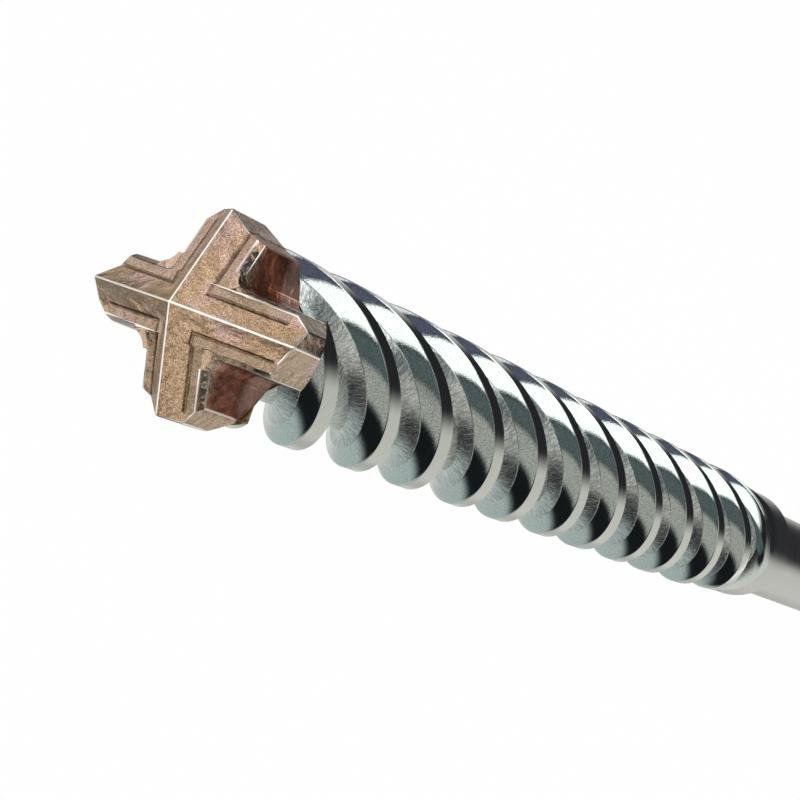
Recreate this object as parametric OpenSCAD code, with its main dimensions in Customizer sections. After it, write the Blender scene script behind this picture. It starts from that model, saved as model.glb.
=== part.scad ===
// Hammer drill bit with a four-cutter carbide head on a fluted steel body.
// The bit lies along X. The shank end is at X = 0 and the tip points along +X.
// It rests on its lands, turned so that the ground lies between two cutters.

/* [Size] */
// Diameter over the two long cutters
head_d = 16; // [14:0.5:20]
// Overall length from the shank end to the tip
overall_l = 210; // [190:5:320]
// Length from the tip to the end of the flutes
working_l = 150; // [110:5:240]

/* [Carbide head] */
// Diameter over the two short cutters
short_d = 15; // [13.5:0.1:19]
// Full angle of the point over the long cutters
point_angle = 128.4; // [115:0.1:145]
// Full angle of the point over the short cutters
short_angle = 122.2; // [110:0.1:145]
// Half width of a cutter's roof
roof_half_w = 1.36; // [1:0.02:1.6]
// Drop from the ridge to the foot of the roof
roof_drop = 1.65; // [1:0.05:2.2]
// Half width of the flat on top of the shoulder
shoulder_half_w = 2.15; // [1.9:0.05:2.6]
// Drop from the ridge to the shoulder
shoulder_drop = 1.8; // [1.7:0.05:2.5]
// Half width of an arm
arm_half_w = 2.48; // [2.3:0.02:3]
// Drop from the ridge to the foot of the shoulder bevel
bevel_drop = 2.65; // [2:0.05:3.5]
// Radius in the corners between the arms
pocket_r = 1; // [0.4:0.1:1.6]
// How far the trailing side of an arm's end lies behind its cutting corner
relief = 1.15; // [0.5:0.05:1.6]
// How far the shoulders end behind the cutting corner
shoulder_back = 1.6; // [1.2:0.05:2.2]
// Straight length of the long cutters behind their corners
gauge_l = 4.7; // [2.5:0.1:5.5]
// Angle of the taper behind the gauge, from the axis
taper_angle = 24; // [12:0.5:30]

/* [Steel body] */
// Diameter over the ground lands
land_d = 13.3; // [12:0.1:14.5]
// Axial length of one full turn of a flute
lead = 49; // [35:1:80]
// Axial width of the lands behind the long cutters
long_land_w = 2.76; // [1.5:0.02:4]
// Axial width of the lands behind the short cutters
short_land_w = 2.54; // [1.5:0.02:4]
// How far the short cutters' lands lag behind an even spacing
land_lag = 0.73; // [0:0.01:1.5]
// Distance from the corners of the long cutters to where their lands pass behind them
land_start = 8.6; // [7:0.1:10]
// Depth of the flutes below the lands
flute_depth = 2.57; // [1.5:0.01:3.2]
// Step from a land down to the back of its ridge
back_step = 0.09; // [0.03:0.01:0.4]
// Further fall over the back of a ridge
back_fall = 0.39; // [0.05:0.01:0.6]
// Length over which the flutes run out
run_out_l = 12; // [6:1:25]
// Diameter of the neck behind the flutes
neck_d = 12.4; // [11.5:0.1:13]
// Step from the end of the flutes down to the neck
neck_step = 0.1; // [0.05:0.05:0.3]

/* [Rest] */
// Where the bit lies between resting against a short cutter (0) and a long one (1)
rest_share = 0.28; // [0:0.02:1]

/* [Seat and braze] */
// Full angle of the conical seat under the head
seat_angle = 90; // [80:1:110]
// Depth from the corners of the long cutters to the rim of the seat
seat_rim = 7.75; // [7:0.05:9]
// Radius of the flat at the bottom of the seat
seat_floor_r = 1.2; // [0.6:0.1:2]
// Thickness of the braze, along the axis
braze_t = 0.2; // [0.1:0.05:0.4]
// How far the foot of the head stays inside the lands
foot_inset = 0.15; // [0.05:0.05:0.4]

/* [Shank] */
// Diameter of the slotted shank
shank_d = 10; // [9.9:0.05:10.1]
// Length of the shank, up to the shoulder of the neck
shank_l = 52; // [46:1:58]
// Length of the two open drive slots
slot_l = 27; // [20:1:32]
// Width of the drive slots
slot_w = 2.6; // [2:0.1:3.2]
// Depth of the drive slots
slot_depth = 1.9; // [1:0.1:2.4]
// Distance from the shank end to the start of the closed grooves
groove_start = 11.5; // [8:0.5:14]
// Length of the closed grooves
groove_l = 21; // [16:0.5:24]
// Radius of the closed grooves
groove_r = 3; // [2:0.1:3.4]
// Depth of the closed grooves
groove_depth = 1.35; // [0.8:0.05:1.8]
// Chamfer on the shank end
shank_chamfer = 1; // [0.4:0.1:1.5]

/* [Hidden] */
$fn = 64;

head_r = head_d / 2;
short_r = short_d / 2;
land_r = land_d / 2;
core_r = land_r - flute_depth;
neck_r = neck_d / 2;
shank_r = shank_d / 2;
foot_r = land_r - foot_inset;

point_slope = 90 - point_angle / 2;
short_slope = 90 - short_angle / 2;
corner_z = overall_l - head_r * tan(point_slope);
rim_z = corner_z - seat_rim;
seat_slope = 1 / tan(seat_angle / 2);
flute_end_z = overall_l - working_l;

// Turn of the long cutters from level, within the range in which no cutter meets the ground
least_turn = acos(min(land_r / short_r, 1));
most_turn = 90 - acos(min(land_r / head_r, 1));
long_turn = least_turn + (most_turn - least_turn) * rest_share;

// Height of the seat cone at a radius
function seat_z(r) = rim_z - (land_r - r) * seat_slope;

// Lays a shape that stands on Z along X, and turns it to an angle about X
module lay(turn = 0) rotate([0, 90, 0]) rotate(turn + 90) children();

// Outline of one arm seen from the tip, with its ridge along X
module arm_outline(r)
  polygon([
    [0, arm_half_w], [r - shoulder_back, arm_half_w],
    [sqrt(r * r - roof_half_w * roof_half_w), roof_half_w], [r, 0],
    [r - relief, -roof_half_w], [r - shoulder_back, -arm_half_w],
    [0, -arm_half_w]
  ]);

// Section across an arm: the roof, the shoulders beside it and their bevels
module roof_section(slope) {
  half = [
    [0, 0], [roof_drop, roof_half_w], [shoulder_drop, shoulder_half_w],
    [bevel_drop, arm_half_w], [3 * head_r, arm_half_w]
  ];
  polygon([
    for (p = half) [p[0] * cos(slope), p[1]],
    for (i = [len(half) - 1:-1:1]) [half[i][0] * cos(slope), -half[i][1]]
  ]);
}

// One arm with its roof sloping down from the tip
module arm(r, slope)
  intersection() {
    translate([0, 0, overall_l])
      rotate([0, 90 + slope, 0])
        linear_extrude(2 * head_r) roof_section(slope);
    linear_extrude(2 * overall_l) arm_outline(r);
  }

// Everything below the plane of the shoulders of an arm along X
module below_shoulder(slope)
  translate([0, 0, overall_l - shoulder_drop])
    rotate([0, slope, 0])
      translate([-2 * head_r, -2 * head_r, -3 * head_r])
        cube([4 * head_r, 4 * head_r, 3 * head_r]);

// Round pocket between two arms, with the bevel of the shoulders carried round it
module pocket() {
  middle = arm_half_w + pocket_r;
  fall = tan((point_slope + short_slope) / 2);
  tilt = atan(fall / sqrt(2));
  bevel_h = (bevel_drop - shoulder_drop) * cos(tilt);
  translate([middle, middle, 0]) cylinder(h = 2 * overall_l, r = pocket_r);
  translate([middle, middle, overall_l - bevel_drop - middle * fall])
    rotate(a = tilt, v = [-1, 1, 0])
      cylinder(h = 2 * bevel_h, r1 = pocket_r, r2 = pocket_r + 2 * (arm_half_w - shoulder_half_w));
}

// Corner that joins the shoulders of the arm along X and the arm along Y round the pocket
module web(x_slope, y_slope)
  difference() {
    intersection() {
      linear_extrude(2 * overall_l) square(arm_half_w + pocket_r);
      below_shoulder(x_slope);
      rotate(90) below_shoulder(y_slope);
    }
    pocket();
  }

// Four arms and the webs between them, long enough to pass the seat
module cross()
  for (quarter = [0:3])
    let (long = quarter % 2 == 0)
      rotate(90 * quarter) {
        arm(long ? head_r : short_r, long ? point_slope : short_slope);
        web(long ? point_slope : short_slope, long ? short_slope : point_slope);
      }

// Turned blank of the head: gauge, rear taper and the cone that fits the seat
module head_blank() {
  gauge_z = corner_z - gauge_l;
  taper_foot_z = gauge_z - (head_r - foot_r) / tan(taper_angle);
  rotate_extrude()
    polygon([
      [0, seat_z(seat_floor_r)], [seat_floor_r, seat_z(seat_floor_r)],
      [foot_r, seat_z(foot_r)], [foot_r, max(taper_foot_z, seat_z(foot_r))],
      [head_r, gauge_z], [head_r + 1, gauge_z],
      [head_r + 1, overall_l + 1], [0, overall_l + 1]
    ]);
}

module carbide_head()
  color([0.71, 0.55, 0.42])
    lay(long_turn)
      intersection() {
        cross();
        head_blank();
      }

// Thin cone of filler between the head and its seat
module braze_joint()
  color([0.72, 0.52, 0.24])
    lay(long_turn)
      intersection() {
        rotate_extrude()
          polygon([
            [0, seat_z(seat_floor_r) - braze_t], [seat_floor_r, seat_z(seat_floor_r) - braze_t],
            [foot_r, seat_z(foot_r) - braze_t], [foot_r, seat_z(foot_r)],
            [seat_floor_r, seat_z(seat_floor_r)], [0, seat_z(seat_floor_r)]
          ]);
        cross();
      }

// The section of a flute runs from the wall of the next land back to its own land.
// Its share of the width is 0 at its own land and 1 at the next one.
// Each flute states where its back ends, where its floor starts, where the wall starts,
// and how full its flank is
wide_flute = [0.1, 0.29, 0.91, 1.65];
narrow_flute = [0.14, 0.4, 0.91, 2.05];
top_r = land_r - back_step - back_fall;

function wall_points(from) = [
  for (k = [2:-1:0])
    [from + (1 - from) * k / 3, core_r + (land_r - core_r) * (1 - cos(30 * k))]
];
function floor_points(from, to) = [for (k = [3:-1:1]) [from + (to - from) * k / 4, core_r]];
function flank_points(back, floor_at, fullness) = [
  for (a = [0:18:90])
    [back + (floor_at - back) * pow(cos(a), 2 / fullness), core_r + (top_r - core_r) * sin(a)]
];
function flute_points(f) = concat(
  wall_points(f[2]),
  floor_points(f[1], f[2]),
  flank_points(f[0], f[1], f[3]),
  [[f[0] / 2, land_r - back_step - back_fall / 4]]
);

function turn_of(length) = 360 * length / lead;
function land_turn(i) = turn_of(i % 2 == 0 ? long_land_w : short_land_w);
function ridge_turn(i) = 90 * i + (i % 2 == 0 ? 0 : turn_of(land_lag));

// The section as [angle, radius], from each land over the flute that follows it
section = [
  for (i = [0:3])
    let (
      from = ridge_turn(i) + land_turn(i),
      width = ridge_turn(i + 1) - from
    )
    each concat(
      [for (k = [0:2]) [ridge_turn(i) + land_turn(i) * k / 2, land_r]],
      [for (p = flute_points(i % 2 == 0 ? wide_flute : narrow_flute)) [from + (1 - p[0]) * width, p[1]]]
    )
];

// One ring of the fluted body; the flutes fade into the neck over the run-out
function fade(z) =
  z > flute_end_z + run_out_l ? 0 : (1 + cos(180 * (z - flute_end_z) / run_out_l)) / 2;
function ring(z) = [
  for (p = section)
    let (a = p[0] + turn_of(z - corner_z + land_start), r = p[1] + (neck_r - p[1]) * fade(z))
    [r * cos(a), r * sin(a), z]
];

ring_step = lead / 30;
ring_count = ceil((rim_z - flute_end_z) / ring_step);

module fluted_body() {
  n = len(section);
  points = [
    for (k = [0:ring_count]) each ring(flute_end_z + (rim_z - flute_end_z) * k / ring_count)
  ];
  faces = concat(
    [[for (i = [n - 1:-1:0]) i]],
    [for (k = [0:ring_count - 1], i = [0:n - 1])
      let (a = k * n + i, b = k * n + (i + 1) % n) [a, b, b + n]],
    [for (k = [0:ring_count - 1], i = [0:n - 1])
      let (a = k * n + i, b = k * n + (i + 1) % n) [a, b + n, a + n]],
    [[for (i = [0:n - 1]) ring_count * n + i]]
  );
  polyhedron(points, [for (f = faces) [for (i = [len(f) - 1:-1:0]) f[i]]], convexity = 10);
}

// Neck, shoulder and shank, turned in one piece with the body
module shank()
  difference() {
    rotate_extrude()
      polygon([
        [0, 0], [shank_r - shank_chamfer, 0], [shank_r, shank_chamfer],
        [shank_r, shank_l], [neck_r - neck_step, shank_l + neck_r - shank_r],
        [neck_r - neck_step, flute_end_z + 1], [0, flute_end_z + 1]
      ]);
    for (side = [0, 180])
      rotate(side) {
        translate([shank_r - slot_depth, -slot_w / 2, -1]) cube([shank_r, slot_w, slot_l + 1]);
        rotate(90)
          translate([shank_r - groove_depth + groove_r, 0, groove_start + groove_r]) {
            cylinder(h = groove_l - 2 * groove_r, r = groove_r);
            sphere(groove_r);
            translate([0, 0, groove_l - 2 * groove_r]) sphere(groove_r);
          }
      }
  }

module steel_body()
  color([0.56, 0.6, 0.59])
    union() {
      lay(long_turn)
        difference() {
          fluted_body();
          translate([0, 0, -braze_t])
            rotate_extrude()
              polygon([
                [0, seat_z(seat_floor_r)], [seat_floor_r, seat_z(seat_floor_r)],
                [land_r + 1, seat_z(land_r + 1)], [0, seat_z(land_r + 1)]
              ]);
        }
      lay(0) shank();
    }

carbide_head();
braze_joint();
steel_body();
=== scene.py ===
from math import acos, atan2, cos, degrees, pi, radians, sin, sqrt, tan

import bpy
from mathutils import Matrix, Vector


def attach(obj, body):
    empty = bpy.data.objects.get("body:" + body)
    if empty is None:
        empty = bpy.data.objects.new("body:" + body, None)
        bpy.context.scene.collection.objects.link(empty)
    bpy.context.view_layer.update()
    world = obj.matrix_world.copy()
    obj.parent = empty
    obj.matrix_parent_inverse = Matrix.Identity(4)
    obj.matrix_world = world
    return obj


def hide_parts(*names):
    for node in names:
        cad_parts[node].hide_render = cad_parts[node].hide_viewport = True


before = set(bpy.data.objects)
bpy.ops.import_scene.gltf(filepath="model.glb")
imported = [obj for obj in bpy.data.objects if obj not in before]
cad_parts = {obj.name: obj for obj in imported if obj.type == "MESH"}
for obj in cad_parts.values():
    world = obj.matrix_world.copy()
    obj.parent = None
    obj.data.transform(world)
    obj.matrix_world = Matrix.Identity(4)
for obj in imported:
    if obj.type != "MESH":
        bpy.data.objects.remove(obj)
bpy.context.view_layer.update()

MM = 0.001
# Points that lie closer than this, in millimetres, are the same
NEAR = 0.001

# Driving sizes, in millimetres and degrees. The bit lies along X with its tip at the far end.
OVERALL = 210
HEAD_R = 8
SHORT_R = 7.5
POINT_SLOPE = 25.8
SEAT_RIM = 7.75
BRAZE_T = 0.2
CORNER_X = OVERALL - HEAD_R * tan(radians(POINT_SLOPE))
RIM_X = CORNER_X - SEAT_RIM
BODY_FRONT_X = RIM_X - BRAZE_T

# Lands and flutes
LAND_R = 6.65
CORE_R = 4.08
LEAD = 49
LONG_LAND = 2.76
SHORT_LAND = 2.54
LAND_LAG = 0.73
LAND_START = 8.6
FLUTE_END_X = 60
RUN_OUT = 12
# Shares of a flute at which its floor and its wall start
WIDE_FLUTE = (0.29, 0.91)
NARROW_FLUTE = (0.4, 0.91)

# Neck and shank
NECK_R = 6.2
NECK_STEP = 0.1
SHANK_R = 5
SHANK_L = 52
SHANK_CHAMFER = 1
SLOT_L = 27
SLOT_W = 2.6
SLOT_DEPTH = 1.9
GROOVE_START = 11.5
GROOVE_L = 21
GROOVE_R = 3
GROOVE_DEPTH = 1.35

# Turn of the long cutters from level, within the range in which no cutter meets the ground
LEAST_TURN = degrees(acos(LAND_R / SHORT_R))
MOST_TURN = 90 - degrees(acos(LAND_R / HEAD_R))
REST_SHARE = 0.28
LONG_TURN = LEAST_TURN + (MOST_TURN - LEAST_TURN) * REST_SHARE

# Forms that the solids leave out: the crease that parts the smooth flank of a flute from its
# rough root, and the widths of the broken edges
CREASE_SHARE = 0.18
CREASE_R = 5.36
LAND_EDGE = 0.07
HEAD_EDGE = 0.1
SHANK_EDGE = 0.12
# Radius at which a flute ends and the broken edge of the land starts
FLUTE_TOP_R = LAND_R - LAND_EDGE


def clear_selection():
    """Leaves edit mode and selects nothing, so that the next operator acts on its own piece alone."""
    if bpy.context.object and bpy.context.object.mode != "OBJECT":
        bpy.ops.object.mode_set(mode="OBJECT")
    bpy.ops.object.select_all(action="DESELECT")


def pick(piece):
    """Makes one object the only selected and active one."""
    clear_selection()
    piece.select_set(True)
    bpy.context.view_layer.objects.active = piece


def pick_vertices(piece, wanted):
    """Selects the vertices that pass a test, and the edges and faces between them, in edit mode."""
    pick(piece)
    bpy.ops.object.mode_set(mode="EDIT")
    bpy.ops.mesh.select_mode(type="VERT")
    bpy.ops.mesh.select_all(action="DESELECT")
    bpy.ops.object.mode_set(mode="OBJECT")
    for vertex in piece.data.vertices:
        vertex.select = wanted(vertex.co / MM)
    bpy.ops.object.mode_set(mode="EDIT")


def apply_modifier(piece, kind, **settings):
    """Adds a modifier, sets it and applies it to the mesh."""
    pick(piece)
    modifier = piece.modifiers.new(kind.title(), kind)
    for name, value in settings.items():
        setattr(modifier, name, value)
    bpy.ops.object.modifier_apply(modifier=modifier.name)


def finish_piece(piece, node, material, smooth_angle):
    """Shades a piece, gives it its finish and lets it stand for its CAD node."""
    pick(piece)
    bpy.ops.object.transform_apply(location=True, rotation=True, scale=True)
    bpy.ops.object.shade_smooth_by_angle(angle=radians(smooth_angle))
    piece.data.materials.clear()
    piece.data.materials.append(material)
    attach(piece, "root")
    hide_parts(node)


class Value:
    """An output of a shader node that works in sums as a number does, by adding Math nodes."""

    def __init__(self, shader, socket):
        self.shader = shader
        self.socket = socket

    def __add__(self, other):
        return self.shader.maths("ADD", self, other)

    def __sub__(self, other):
        return self.shader.maths("SUBTRACT", self, other)

    def __rsub__(self, other):
        return self.shader.maths("SUBTRACT", other, self)

    def __mul__(self, other):
        return self.shader.maths("MULTIPLY", self, other)

    def __pow__(self, other):
        return self.shader.maths("POWER", self, other)

    def __abs__(self):
        return self.shader.maths("ABSOLUTE", self)

    __radd__ = __add__
    __rmul__ = __mul__


def find_socket(sockets, key):
    """A socket by its place in the node, or by its identifier."""
    return sockets[key] if isinstance(key, int) else {each.identifier: each for each in sockets}[key]


class Shader:
    """The node tree of a new material or world."""

    def __init__(self, owner):
        owner.use_nodes = True
        self.owner = owner
        self.tree = owner.node_tree
        self.tree.nodes.clear()

    def node(self, kind, settings, inputs, output=0):
        """Adds a node, sets it up, fills or links its sockets and returns one of its outputs."""
        made = self.tree.nodes.new(kind)
        for name, value in settings.items():
            setattr(made, name, value)
        for key, value in inputs.items():
            socket = find_socket(made.inputs, key)
            if isinstance(value, Value):
                self.tree.links.new(value.socket, socket)
            elif socket.type == "RGBA":
                socket.default_value = (*value, 1)
            else:
                socket.default_value = value
        return Value(self, find_socket(made.outputs, output)) if made.outputs else None

    def maths(self, operation, *values):
        """One Math node on one to three values."""
        return self.node("ShaderNodeMath", {"operation": operation}, dict(enumerate(values)))

    def place(self):
        """Object coordinates in millimetres."""
        coordinates = self.node("ShaderNodeTexCoord", {}, {}, "Object")
        return self.node("ShaderNodeVectorMath", {"operation": "SCALE"}, {0: coordinates, "Scale": 1 / MM})

    def parts(self, vector):
        """The three components of a vector."""
        split = self.node("ShaderNodeSeparateXYZ", {}, {0: vector})
        return [Value(self, output) for output in split.socket.node.outputs]

    def join(self, x, y, z):
        """A vector from three components."""
        return self.node("ShaderNodeCombineXYZ", {}, {0: x, 1: y, 2: z})

    def step(self, value, low, high):
        """0 at low and 1 at high, with a smooth change between them. Low may be above high."""
        inputs = {"Value": value, "From Min": low, "From Max": high}
        return self.node("ShaderNodeMapRange", {"interpolation_type": "SMOOTHSTEP"}, inputs)

    def band(self, value, start, end, fade):
        """1 between start and end and 0 outside them, with a smooth change across both."""
        return self.step(value, start - fade, start + fade) * self.step(value, end + fade, end - fade)

    def noise(self, place, scale, detail, roughness):
        """A cloudy pattern of values around 0.5, finer as the scale grows."""
        inputs = {"Vector": place, "Scale": scale, "Detail": detail, "Roughness": roughness}
        return self.node("ShaderNodeTexNoise", {}, inputs)

    def mix(self, factor, first, second):
        """Blends two colours."""
        inputs = {"Factor_Float": factor, "A_Color": first, "B_Color": second}
        return self.node("ShaderNodeMix", {"data_type": "RGBA"}, inputs, "Result_Color")

    def bump(self, relief, height):
        """A normal from a relief, with the height in millimetres that a relief of 1 stands for."""
        return self.node("ShaderNodeBump", {}, {"Height": relief, "Distance": height * MM, "Strength": 1})

    def metal(self, colour, roughness, normal):
        """Ends the tree in one metal surface and returns the material."""
        inputs = {"Base Color": colour, "Roughness": roughness, "Normal": normal, "Metallic": 1}
        surface = self.node("ShaderNodeBsdfPrincipled", {}, inputs)
        self.node("ShaderNodeOutputMaterial", {}, {"Surface": surface})
        return self.owner


def steel_finish():
    """Blasted flutes with tool marks in their roots, ground lands with a painted highlight along their
    broken edges, and a smooth turned shank.
    """
    s = Shader(bpy.data.materials.new("blasted_steel"))
    place = s.place()
    x, y, z = s.parts(place)
    radius = (y * y + z * z) ** 0.5
    turn = s.maths("ARCTAN2", z, y)
    shank = s.step(x, FLUTE_END_X + 2, FLUTE_END_X - 1)
    land = s.step(radius, LAND_R - 0.05, LAND_R - 0.015)
    edge = s.step(radius, FLUTE_TOP_R - 0.015, FLUTE_TOP_R + 0.01) * (1 - land) * (1 - shank)
    root = s.step(radius, CREASE_R + 0.03, CREASE_R - 0.03) * (1 - shank)

    grain = s.noise(place, scale=7.5, detail=3, roughness=0.6)
    fine = s.noise(place, scale=16, detail=2, roughness=0.6)
    cloud = s.noise(place, scale=0.55, detail=3, roughness=0.6)
    strokes = s.noise(s.join(x * 3.2, turn * 3.5, radius * 1.5), scale=1, detail=4, roughness=0.7)
    hone = s.noise(s.join(x * 14, turn * 2.5, radius), scale=1, detail=3, roughness=0.6)
    turned = s.noise(s.join(x * 5, turn * 0.6, radius), scale=1, detail=4, roughness=0.65)

    speck = s.step(grain * 0.5 + fine * 0.5, 0.4, 0.6)
    flute_colour = s.mix(speck, (0.36, 0.42, 0.41), (0.78, 0.84, 0.8))
    flute_colour = s.mix(cloud * 0.3, flute_colour, (0.56, 0.58, 0.54))
    root_colour = s.mix(s.step(strokes, 0.36, 0.64), (0.5, 0.54, 0.52), (0.8, 0.84, 0.82))
    land_colour = s.mix(hone, (0.4, 0.42, 0.39), (0.62, 0.64, 0.6))
    shank_colour = s.mix(turned, (0.42, 0.43, 0.42), (0.6, 0.6, 0.58))
    colour = s.mix(root, flute_colour, root_colour)
    colour = s.mix(land, colour, land_colour)
    # The broken edges of the lands are painted near white: a painted highlight along them
    colour = s.mix(edge, colour, (0.9, 0.9, 0.88))
    colour = s.mix(shank, colour, shank_colour)

    flute_rough = 0.06 + grain * 0.1 + root * 0.12
    land_rough = 0.1 + hone * 0.1
    shank_rough = 0.18 + turned * 0.12
    rough = flute_rough + land * (land_rough - flute_rough)
    rough = rough + shank * (shank_rough - rough)

    blasted = grain * 0.7 + fine * 0.3
    relief = blasted * (1 - land) * (1 - shank * 0.85) + hone * land * 0.12 + turned * shank * 0.1
    relief = relief + strokes * root * 9
    return s.metal(colour, rough, s.bump(relief, 0.008))


def roof_masks(s, x, along, across):
    """The groove, rib and outer strip on the roofs of the arms, by their places beside the ridge."""
    aside = s.maths("MINIMUM", abs(along), abs(across))
    reach = s.maths("MAXIMUM", abs(along), abs(across))
    height = x + reach * tan(radians(POINT_SLOPE)) - OVERALL
    roof = s.step(height, -3.1, -2.9) * s.step(reach, 6.7, 6.5)
    groove = s.band(aside, 1.3, 1.5, 0.08) * roof
    rib = s.step(aside, 1.45, 1.55) * s.step(aside, 2.15, 2.08) * roof
    strip = s.step(aside, 2.1, 2.16) * roof
    return groove, rib, strip


def carbide_finish():
    """Blasted carbide with a bronze tint and a painted pink reflection, bare ground edges painted near
    white as partly a painted highlight, painted highlights on the ribs, painted shade in the grooves, and
    pockets tinted red by the braze and painted darker with depth as shade.
    """
    s = Shader(bpy.data.materials.new("carbide"))
    place = s.place()
    x, y, z = s.parts(place)
    radius = (y * y + z * z) ** 0.5
    tilt = radians(LONG_TURN)
    along = y * cos(tilt) + z * sin(tilt)
    across = z * cos(tilt) - y * sin(tilt)
    groove, rib, strip = roof_masks(s, x, along, across)
    # The pockets: a red tint from the brazing, and painted shade that grows deeper into them
    heat_tint_and_painted_shade = s.step(x, CORNER_X - 0.6, CORNER_X - 2.6) * s.step(radius, 6.75, 6.2)
    ground = s.node("ShaderNodeAttribute", {"attribute_name": "ground"}, {}, "Fac")

    grain = s.noise(place, scale=8.5, detail=4, roughness=0.75)
    fine = s.noise(place, scale=17, detail=2, roughness=0.6)
    cloud = s.noise(place, scale=0.4, detail=3, roughness=0.55)
    waves = s.noise(place, scale=0.9, detail=2, roughness=0.5)

    speck = s.step(grain * 0.6 + fine * 0.4, 0.42, 0.58)
    bronze = s.mix(speck, (0.34, 0.21, 0.12), (0.8, 0.59, 0.39))
    # A pink painted reflection, laid on the carbide as a cloudy tint that leans to one side
    rosy_painted_reflection = s.mix(speck, (0.4, 0.24, 0.18), (0.92, 0.67, 0.56))
    # The colour of the pockets: a dark red tint, partly painted shade, with a paler lip near the rim of
    # the seat
    pocket_tint_and_painted_shade = s.mix(s.step(cloud, 0.4, 0.6), (0.16, 0.045, 0.02), (0.34, 0.11, 0.05))
    pocket_tint_and_painted_shade = s.mix(s.step(x, RIM_X + 1.6, RIM_X + 0.2) * 0.7, pocket_tint_and_painted_shade, (0.6, 0.36, 0.3))
    colour = s.mix(s.step(cloud + across * 0.02, 0.5, 0.6), bronze, rosy_painted_reflection)
    # A painted highlight on the ribs of the roofs
    colour = s.mix(rib * 0.3, colour, (1.0, 0.8, 0.62))
    # Painted shade in the grooves of the roofs
    colour = s.mix(groove * 0.6, colour, (0.08, 0.045, 0.025))
    colour = s.mix(strip * 0.5, colour, (0.5, 0.38, 0.29))
    colour = s.mix(heat_tint_and_painted_shade, colour, pocket_tint_and_painted_shade)
    # The bare ground edges, painted near white: partly their own paler bare carbide, partly a painted
    # highlight
    colour = s.mix(ground * (1 - heat_tint_and_painted_shade * 0.5), colour, (1.0, 0.95, 0.88))

    rough = 0.14 + grain * 0.12 + heat_tint_and_painted_shade * 0.2
    blasted = grain * 0.7 + fine * 0.3
    relief = blasted * (1 - ground) * (1 - heat_tint_and_painted_shade * 0.8) * (0.7 + rib * 1.6 - strip * 0.4)
    relief = relief - groove * 2 + (waves - 0.5) * (1 - ground) * (6 + rib * 4)
    return s.metal(colour, rough, s.bump(relief, 0.045))


def braze_finish():
    """Copper braze with a greenish stain of flux."""
    s = Shader(bpy.data.materials.new("braze"))
    place = s.place()
    cloud = s.noise(place, scale=1.3, detail=4, roughness=0.65)
    grain = s.noise(place, scale=9, detail=2, roughness=0.6)
    colour = s.mix(s.step(cloud, 0.42, 0.6), (0.52, 0.29, 0.11), (0.3, 0.29, 0.13))
    return s.metal(colour, 0.3 + grain * 0.2, s.bump(grain, 0.03))


def falling(steps):
    """Even shares from 1 down towards 0, without the 0."""
    return [step / steps for step in range(steps, 0, -1)]


def flute_points(floor_at, wall_at):
    """The section of a flute as (share, radius), from the wall of one land to the edge of the next."""
    points = []
    # The wall, a quarter turn of a curve whose top is a point of the land
    for up in falling(6)[1:]:
        radius = CORE_R + (FLUTE_TOP_R - CORE_R) * (1 - cos(pi / 2 * up))
        points.append((wall_at + (1 - wall_at) * up, radius))
    # The floor, from the wall to the flank
    for back in falling(10):
        points.append((floor_at + (wall_at - floor_at) * back, CORE_R))
    # The rough root of the flank, up to the crease
    for below in falling(8):
        share = CREASE_SHARE + (floor_at - CREASE_SHARE) * below
        points.append((share, CORE_R + (CREASE_R - CORE_R) * (1 - below) ** 1.2))
    # The smooth flank, from the crease up to the next land
    for below in falling(8):
        points.append((CREASE_SHARE * below, CREASE_R + (FLUTE_TOP_R - CREASE_R) * (1 - below**1.1)))
    return points


def section_points():
    """The section of the fluted body as (turn, radius), over four lands and four flutes."""
    per_mm = 360 / LEAD
    edge = LAND_EDGE * per_mm
    land_steps = 4
    points = []
    for index in range(4):
        long = index % 2 == 0
        land_at = 90 * index + (0 if long else LAND_LAG * per_mm)
        next_land_at = 90 * (index + 1) + (LAND_LAG * per_mm if long else 0)
        land = (LONG_LAND if long else SHORT_LAND) * per_mm
        points.append((land_at, FLUTE_TOP_R))
        for step in range(land_steps + 1):
            points.append((land_at + edge + (land - 2 * edge) * step / land_steps, LAND_R))
        points.append((land_at + land, FLUTE_TOP_R))
        width = next_land_at - land_at - land
        for share, radius in flute_points(*(WIDE_FLUTE if long else NARROW_FLUTE)):
            points.append((land_at + land + (1 - share) * width, radius))
    return points


def around(x, angle, radius):
    """A point by its place along the bit, its angle about it in radians and its radius."""
    return Vector((x, radius * cos(angle), radius * sin(angle))) * MM


def fluted_body():
    """The section of the flutes, screwed back from the rim of the seat to the neck."""
    section = section_points()
    front_turn = LONG_TURN + 360 * (BODY_FRONT_X - CORNER_X + LAND_START) / LEAD
    clear_selection()
    bpy.ops.mesh.primitive_circle_add(vertices=len(section), radius=LAND_R * MM)
    body = bpy.context.object
    body.name = "fluted_body"
    for vertex, (turn, radius) in zip(body.data.vertices, section):
        vertex.co = around(BODY_FRONT_X, radians(front_turn + turn), radius)
    travel = BODY_FRONT_X - FLUTE_END_X
    steps = 340
    apply_modifier(
        body,
        "SCREW",
        axis="X",
        angle=-radians(360 * travel / LEAD),
        screw_offset=-travel * MM,
        steps=steps,
        render_steps=steps,
        use_smooth_shade=True,
    )
    return body


def shape_ends(body):
    """Slides the front down the cone of the seat, and lets the flutes run out into the neck."""
    slide_fade = 12
    for vertex in body.data.vertices:
        x, y, z = vertex.co / MM
        radius = sqrt(y * y + z * z)
        slide = (LAND_R - radius) * max(1 - (BODY_FRONT_X - x) / slide_fade, 0)
        x -= slide
        # The slide is a screw motion too, so that the flutes keep their helix
        angle = atan2(z, y) - 2 * pi * slide / LEAD
        done = min(max((FLUTE_END_X + RUN_OUT - x) / RUN_OUT, 0), 1)
        radius += (NECK_R - radius) * (1 - cos(pi * done)) / 2
        vertex.co = around(x, angle, radius)


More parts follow.
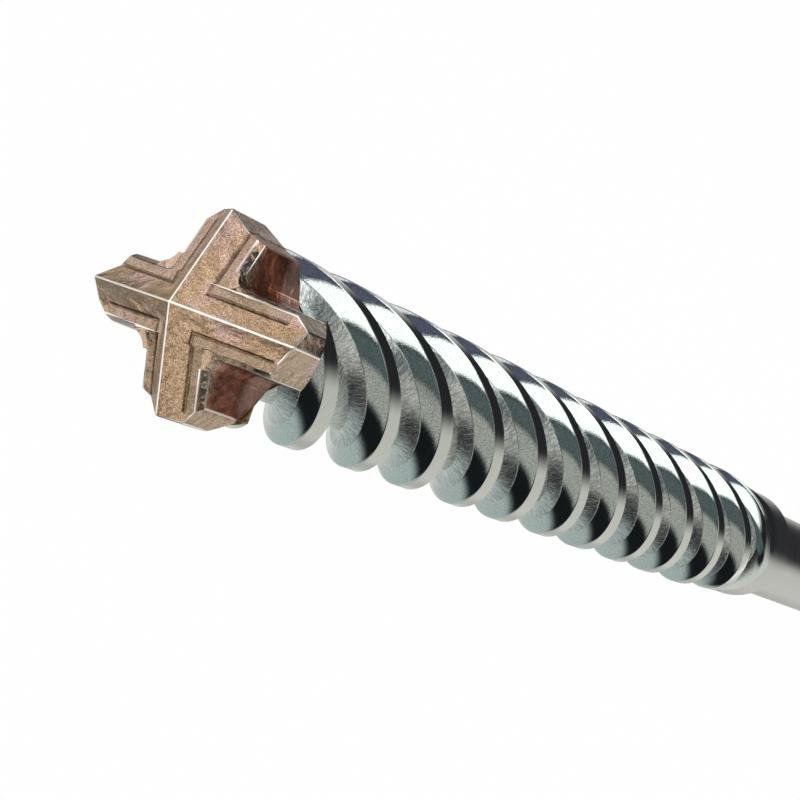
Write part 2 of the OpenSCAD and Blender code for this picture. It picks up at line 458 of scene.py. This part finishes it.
def draw_loop(travel, shrink):
    """Draws the selected loop out along X and scales it about the axis."""
    bpy.ops.mesh.extrude_region_move(TRANSFORM_OT_translate={"value": (travel * MM, 0, 0)})
    bpy.ops.transform.resize(value=(1, shrink, shrink), center_override=(0, 0, 0))


def close_seat(body):
    """Closes the front with the cone of the seat and the flat at its bottom."""
    flat_share = 0.2
    apex = BODY_FRONT_X - LAND_R
    pick_vertices(body, lambda p: abs(p.x - apex - sqrt(p.y**2 + p.z**2)) < NEAR and p.x > apex)
    bpy.ops.mesh.extrude_region_move(TRANSFORM_OT_translate={"value": (0, 0, 0)})
    bpy.ops.transform.resize(value=(flat_share,) * 3, center_override=(apex * MM, 0, 0))
    bpy.ops.mesh.edge_face_add()


def draw_shank(body):
    """Draws the rear end out to the neck and the shank, with small breaks at their corners."""
    neck = NECK_R - NECK_STEP
    neck_end_x = SHANK_L + neck - SHANK_R
    end_r = SHANK_R - SHANK_CHAMFER
    corner = 0.1
    profile = [
        (FLUTE_END_X, neck),
        (neck_end_x + corner, neck),
        (neck_end_x, neck - 0.6 * corner),
        (SHANK_L, SHANK_R),
        (SHANK_CHAMFER, SHANK_R),
        (corner, end_r),
        (0, end_r - corner),
    ]
    pick_vertices(body, lambda p: abs(p.x - FLUTE_END_X) < NEAR)
    x, radius = FLUTE_END_X, NECK_R
    for next_x, next_radius in profile:
        draw_loop(next_x - x, next_radius / radius)
        x, radius = next_x, next_radius
    bpy.ops.mesh.edge_face_add()
    bpy.ops.mesh.select_all(action="SELECT")
    bpy.ops.mesh.normals_make_consistent(inside=False)
    bpy.ops.object.mode_set(mode="OBJECT")


def slot_cutter(side):
    """A box for one open slot, which stands out of the shank behind it and beside it."""
    beyond = 2
    clear_selection()
    bpy.ops.mesh.primitive_cube_add(size=MM)
    slot = bpy.context.object
    slot.scale = (SLOT_L + beyond, SLOT_DEPTH + beyond, SLOT_W)
    away = SHANK_R + (beyond - SLOT_DEPTH) / 2
    slot.location = Vector(((SLOT_L - beyond) / 2, side * away, 0)) * MM
    return slot


def groove_cutter(side):
    """A capsule for one closed groove: a sphere whose halves are drawn apart."""
    clear_selection()
    bpy.ops.mesh.primitive_uv_sphere_add(segments=48, ring_count=24, radius=GROOVE_R * MM)
    groove = bpy.context.object
    groove.rotation_euler = (0, pi / 2, 0)
    bpy.ops.object.transform_apply(rotation=True)
    reach = (GROOVE_L / 2 - GROOVE_R) * MM
    for vertex in groove.data.vertices:
        vertex.co.x += reach if vertex.co.x > 0 else -reach
    away = SHANK_R - GROOVE_DEPTH + GROOVE_R
    groove.location = Vector((GROOVE_START + GROOVE_L / 2, 0, side * away)) * MM
    return groove


def shank_cutter():
    """The boxes of the two slots and the capsules of the two grooves, joined into one piece."""
    cutters = [make(side) for side in (1, -1) for make in (slot_cutter, groove_cutter)]
    clear_selection()
    for cutter in cutters:
        cutter.select_set(True)
    bpy.context.view_layer.objects.active = cutters[0]
    bpy.ops.object.join()
    bpy.ops.object.transform_apply(location=True, rotation=True, scale=True)
    return bpy.context.object


def cut_shank(body):
    """Cuts the slots and grooves and breaks their edges, but not the ends of the shank."""
    cutter = shank_cutter()
    apply_modifier(body, "BOOLEAN", object=cutter, operation="DIFFERENCE", solver="EXACT")
    bpy.data.objects.remove(cutter)
    pick(body)
    bpy.ops.object.mode_set(mode="EDIT")
    bpy.ops.mesh.select_mode(type="EDGE")
    bpy.ops.mesh.select_all(action="DESELECT")
    bpy.ops.mesh.edges_select_sharp(sharpness=radians(28))
    bpy.ops.object.mode_set(mode="OBJECT")
    first_x, last_x = 0.5, 40
    mesh = body.data
    for edge in mesh.edges:
        ends = [mesh.vertices[i].co / MM for i in edge.vertices]
        edge.select = edge.select and all(first_x < p.x < last_x for p in ends)
    bpy.ops.object.mode_set(mode="EDIT")
    bpy.ops.mesh.bevel(offset=SHANK_EDGE * MM, segments=2, clamp_overlap=True)
    bpy.ops.object.mode_set(mode="OBJECT")


def cutting_head():
    """A copy of the CAD head, its loose triangles merged into whole faces."""
    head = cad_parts["carbide_head"].copy()
    head.data = head.data.copy()
    head.parent = None
    bpy.context.scene.collection.objects.link(head)
    head.name = "cutting_head"
    # The copy stops being a CAD node, so it drops the properties that it brought from model.glb
    for key in list(head.keys()):
        del head[key]
    pick(head)
    bpy.ops.object.mode_set(mode="EDIT")
    bpy.ops.mesh.select_all(action="SELECT")
    bpy.ops.mesh.remove_doubles(threshold=NEAR * MM)
    bpy.ops.mesh.dissolve_limited(angle_limit=radians(1))
    bpy.ops.object.mode_set(mode="OBJECT")
    return head


def mark_outer_edges(mesh, least_length, least_angle):
    """Gives the long, sharp and convex edges the weight that a bevel looks for."""
    sides = {}
    for polygon in mesh.polygons:
        for key in polygon.edge_keys:
            sides.setdefault(key, []).append(polygon)
    weights = mesh.attributes.new("bevel_weight_edge", "FLOAT", "EDGE")
    for edge, weight in zip(mesh.edges, weights.data):
        first, second = sides[edge.key]
        convex = (second.center - first.center).dot(first.normal) < 0
        sharp = first.normal.angle(second.normal) > radians(least_angle)
        start, end = [mesh.vertices[i].co / MM for i in edge.vertices]
        weight.value = float(convex and sharp and (start - end).length > least_length)


def break_head_edges(head):
    """Bevels the outer edges of the head and marks the new faces as ground bare; the finish paints them
    near white, partly their own bare colour and partly a painted highlight.
    """
    mesh = head.data
    mark_outer_edges(mesh, least_length=1.15, least_angle=20)
    # The bevel gives its faces the second of two empty slots, by which they are found again
    mesh.materials.clear()
    mesh.materials.append(None)
    mesh.materials.append(None)
    apply_modifier(
        head,
        "BEVEL",
        width=HEAD_EDGE * MM,
        segments=2,
        limit_method="WEIGHT",
        material=1,
        use_clamp_overlap=False,
    )
    ground = mesh.attributes.new("ground", "FLOAT", "FACE")
    for polygon, mark in zip(mesh.polygons, ground.data):
        mark.value = polygon.material_index
        polygon.material_index = 0


def studio():
    """A plain floor: near white to the camera, and clear to the metal, which reflects the room."""
    clear_selection()
    bpy.ops.mesh.primitive_plane_add(size=6, location=(0, 0, -LAND_R * MM))
    floor = bpy.context.object
    floor.name = "floor"
    s = Shader(bpy.data.materials.new("floor"))
    seen = s.node("ShaderNodeLightPath", {}, {}, "Is Camera Ray")
    glossy = s.node("ShaderNodeLightPath", {}, {}, "Is Glossy Ray")
    paint = s.node("ShaderNodeBsdfDiffuse", {}, {"Color": (0.85, 0.85, 0.84)})
    white = s.node("ShaderNodeEmission", {}, {"Color": (1, 1, 1), "Strength": 1})
    clear = s.node("ShaderNodeBsdfTransparent", {}, {})
    # A little of the paint stays in the camera's view, and with it the shadow of the bit
    plain = s.node("ShaderNodeMixShader", {}, {0: seen * 0.985, 1: paint, 2: white})
    surface = s.node("ShaderNodeMixShader", {}, {0: glossy, 1: plain, 2: clear})
    s.node("ShaderNodeOutputMaterial", {}, {"Surface": surface})
    floor.data.materials.append(s.owner)


# Each softbox: its angle from the shank's direction, its angle about the bit from level, its spans
# in both, its radiance and its colour
CARDS = {
    "key": (72, 49, (36, 42), 1.9, (0.97, 1.0, 0.98)),
    "lilac": (64, 119, (26, 34), 1.2, (1.0, 0.96, 1.0)),
}
# The point on the bit that the softboxes face, and their distance from it, in metres
CARD_AIM = Vector((0.165, 0, 0))
CARD_DISTANCE = 0.8


def card(name, polar, azimuth, spans, radiance, colour):
    """A softbox that faces the bit."""
    tilt, turn = radians(polar), radians(azimuth)
    away = Vector((-cos(tilt), sin(tilt) * cos(turn), sin(tilt) * sin(turn)))
    along = Vector((sin(tilt), cos(tilt) * cos(turn), cos(tilt) * sin(turn)))
    about = Vector((0, -sin(turn), cos(turn)))
    clear_selection()
    bpy.ops.object.light_add(type="AREA", location=CARD_AIM + away * CARD_DISTANCE)
    lamp = bpy.context.object
    lamp.name = name
    lamp.rotation_euler = Matrix((about, along, away)).transposed().to_euler()
    lamp.data.shape = "RECTANGLE"
    lamp.data.size = CARD_DISTANCE * sin(tilt) * radians(spans[1])
    lamp.data.size_y = CARD_DISTANCE * radians(spans[0])
    lamp.data.energy = radiance * pi * lamp.data.size * lamp.data.size_y
    lamp.data.color = colour


# Each panel on the walls of the room: the same two angles, both from and to, the softness of its
# sides about the bit, and its colour
PANELS = (
    (-20, 40, 26, 160, 18, (0.025, 0.025, 0.03)),
    (-20, 40, -112, -78, 11, (0.55, 0.55, 0.53)),
    (38, 64, -165, -86, 8, (0.5, 0.57, 0.56)),
    (44, 78, -44, -6, 5, (0.5, 0.49, 0.46)),
    (60, 88, -4, 24, 5, (0.12, 0.15, 0.155)),
    (58, 84, 72, 99, 4, (0.12, 0.13, 0.2)),
    (86, 104, 93, 134, 4, (0.42, 0.4, 0.38)),
    (84, 120, -66, -36, 4, (0.48, 0.46, 0.44)),
    (84, 94, -175, -148, 6, (0.34, 0.33, 0.32)),
    (84, 94, -118, -92, 6, (0.5, 0.49, 0.46)),
    (104, 126, 76, 104, 4, (1.5, 1.45, 1.4)),
    (86, 148, 6, 54, 6, (0.14, 0.15, 0.16)),
    (146, 190, 52, 100, 9, (1.0, 1.0, 0.98)),
    (146, 190, -150, -30, 20, (0.5, 0.5, 0.48)),
)


def room():
    """The room that the metal reflects, in zones from behind the shank to the tip, with its panels.

    The camera sees plain white in its place.
    """
    world = bpy.data.worlds.new("room")
    s = Shader(world)
    x, y, z = s.parts(s.node("ShaderNodeTexCoord", {}, {}, "Generated"))
    polar = s.maths("ARCCOSINE", x * -1) * degrees(1)
    turn = s.maths("ARCTAN2", z, y) * degrees(1)
    # Pale behind the shank, dark beside the bit, bright forward of that and dim ahead of the tip,
    # with a paler side away from the camera
    light = s.mix(s.step(polar, 33, 43), (0.8, 0.8, 0.76), (0.012, 0.014, 0.016))
    light = s.mix(s.step(polar, 55, 65) * s.step(y, -0.3, -0.6), light, (0.5, 0.49, 0.46))
    light = s.mix(s.step(polar, 82, 92), light, (1.15, 1.12, 1.08))
    light = s.mix(s.step(polar, 142, 150), light, (0.16, 0.165, 0.17))
    for low, high, start, end, softness, colour in PANELS:
        inside = s.band(polar, low, high, 2) * s.band(turn, start, end, softness)
        light = s.mix(inside, light, colour)
    seen = s.node("ShaderNodeLightPath", {}, {}, "Is Camera Ray")
    sky = s.node("ShaderNodeBackground", {}, {"Color": s.mix(seen, light, (1, 1, 1)), "Strength": 1})
    s.node("ShaderNodeOutputWorld", {}, {"Surface": sky})
    bpy.context.scene.world = world


def camera():
    """The viewpoint of the photograph, as fitted to the outline and the flutes."""
    place = Vector((0.38812, 0.07552, 0.0488))
    aim = Vector((0.16544, 0.00004, -0.00006))
    roll = radians(53.89)
    clear_selection()
    bpy.ops.object.camera_add(location=place)
    view = bpy.context.object
    look = (aim - place).to_track_quat("-Z", "Y").to_matrix()
    view.rotation_euler = (look @ Matrix.Rotation(roll, 3, "Z")).to_euler()
    view.data.lens = 135
    view.data.sensor_width = 36
    view.data.clip_start = 0.01
    bpy.context.scene.camera = view


body = fluted_body()
shape_ends(body)
close_seat(body)
draw_shank(body)
cut_shank(body)
finish_piece(body, "steel_body", steel_finish(), smooth_angle=11)

head = cutting_head()
break_head_edges(head)
finish_piece(head, "carbide_head", carbide_finish(), smooth_angle=13)

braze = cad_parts["braze_joint"]
braze.data.materials.clear()
braze.data.materials.append(braze_finish())

studio()
for name, settings in CARDS.items():
    card(name, *settings)
room()
camera()
bpy.context.scene.view_settings.view_transform = "Standard"
